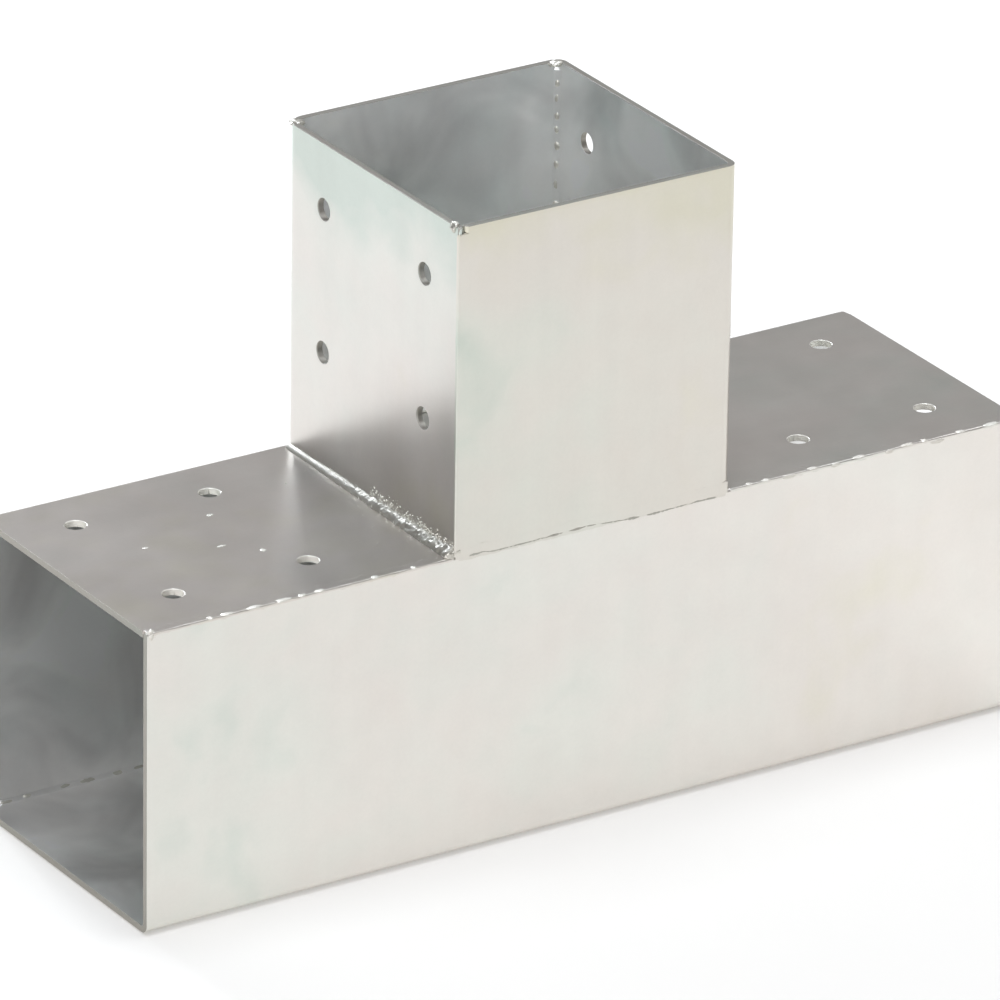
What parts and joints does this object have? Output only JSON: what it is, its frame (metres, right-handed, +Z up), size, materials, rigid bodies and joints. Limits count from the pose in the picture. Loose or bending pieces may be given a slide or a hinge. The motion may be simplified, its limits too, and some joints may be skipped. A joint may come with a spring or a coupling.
{
  "type": "t post connector bracket",
  "caption": "T-shaped connector for square posts: a lying square tube open at its ends, with a square socket welded upright on its middle and screw holes in every arm.",
  "frame": {"origin": "middle of the lying tube's underside", "axes": "+X along the lying tube towards its right arm, +Y from the welded front face to the back, +Z up the upright socket"},
  "size_m": [0.3, 0.095, 0.1975],
  "materials": {
    "zinc_sheet": "zinc plated sheet steel, soft satin sheen with faint iridescent patches",
    "zinc_weld": "zinc plated weld metal, rippled or ground"
  },
  "bodies": {
    "root": {"tube_top_back_angle": "zinc_sheet", "tube_front_bottom_angle": "zinc_sheet", "upright_left_back_angle": "zinc_sheet", "upright_front_right_angle": "zinc_sheet", "tube_front_seam_weld": "zinc_weld", "tube_back_seam_weld": "zinc_weld", "upright_front_seam_weld": "zinc_weld", "upright_back_seam_weld": "zinc_weld", "front_base_weld": "zinc_weld", "back_base_weld": "zinc_weld", "left_fillet_weld": "zinc_weld", "right_fillet_weld": "zinc_weld"}
  },
  "joints": []
}
